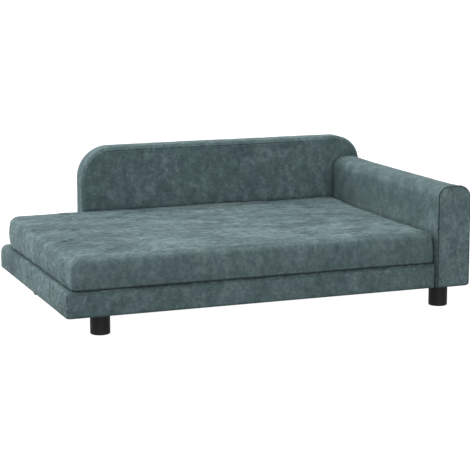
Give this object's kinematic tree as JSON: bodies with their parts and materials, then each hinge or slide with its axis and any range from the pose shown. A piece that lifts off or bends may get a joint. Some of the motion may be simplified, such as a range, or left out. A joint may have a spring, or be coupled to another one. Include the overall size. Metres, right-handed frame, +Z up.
{
  "type": "dog sofa bed",
  "caption": "Low velvet pet sofa bed: platform on round feet, loose zipped cushion, one arm on the right and a low back board with large rounded corners.",
  "frame": {"origin": "on the floor, under the middle of the whole object's box", "axes": "+X to the sitter-side right, towards the arm; +Y to the back board; +Z up"},
  "size_m": [0.9, 0.595, 0.327],
  "materials": {
    "velvet": "matte",
    "foam": "matte",
    "plywood": "matte",
    "hardboard": "satin",
    "pine": "matte",
    "lining": "matte",
    "foot_plastic": "satin",
    "foot_pad": "matte",
    "zinc_steel": "satin",
    "zip_tape": "matte",
    "zip_coil": "satin",
    "zip_metal": "satin"
  },
  "bodies": {
    "frame": {"base_cover": "velvet", "arm_cover": "velvet", "arm_front_facing": "velvet", "back_front_cover": "velvet", "back_border_cover": "velvet", "back_rear_cover": "velvet", "base_deck_foam": "foam", "base_front_padding": "foam", "base_rear_padding": "foam", "base_left_padding": "foam", "base_right_padding": "foam", "arm_inner_foam": "foam", "arm_outer_foam": "foam", "arm_top_foam": "foam", "arm_front_foam": "foam", "back_edge_padding": "foam", "back_front_foam": "foam", "back_rear_foam": "foam", "base_deck_panel": "plywood", "arm_inner_panel": "plywood", "back_core_board": "plywood", "arm_outer_panel": "hardboard", "base_front_rail": "pine", "base_rear_rail": "pine", "base_left_rail": "pine", "base_right_rail": "pine", "base_cross_rails": "pine", "base_foot_board": "pine", "arm_bottom_board": "pine", "arm_front_rib": "pine", "arm_middle_rib": "pine", "arm_rear_rib": "pine", "arm_top_board": "pine", "base_lining": "lining", "arm_lining": "lining", "foot_front_left": "foot_plastic", "foot_rear_left": "foot_plastic", "foot_front_right": "foot_plastic", "foot_rear_right": "foot_plastic", "foot_pads": "foot_pad", "foot_studs": "zinc_steel", "foot_tee_nuts": "zinc_steel", "back_bolts": "zinc_steel", "back_bolt_washers": "zinc_steel", "back_insert_nuts": "zinc_steel", "arm_bolts": "zinc_steel", "arm_bolt_washers": "zinc_steel", "arm_insert_nuts": "zinc_steel", "joining_plates": "zinc_steel", "joining_screws": "zinc_steel", "lining_staples": "zinc_steel"},
    "cushion": {"cushion_foam": "foam", "cushion_cover": "velvet", "cushion_bottom_panel": "velvet", "zip_tapes": "zip_tape", "zip_coil": "zip_coil", "zip_stops": "zip_metal"},
    "zip_slider": {"zip_slider": "zip_metal"},
    "zip_pull": {"zip_pull": "zip_metal"}
  },
  "joints": [
    {"name": "cushion_lift", "type": "slide", "parent": "frame", "child": "cushion", "axis": [0, 0, 1], "range_m": [0, 0.3]},
    {"name": "zip_slide", "type": "slide", "parent": "cushion", "child": "zip_slider", "axis": [1, 0, 0], "range_m": [0, 0.7]},
    {"name": "zip_pull_swing", "type": "hinge", "parent": "zip_slider", "child": "zip_pull", "pos_m": [-0.3845, 0.2423, 0.147], "axis": [0, 0, 1], "range_deg": [0, 180]}
  ]
}
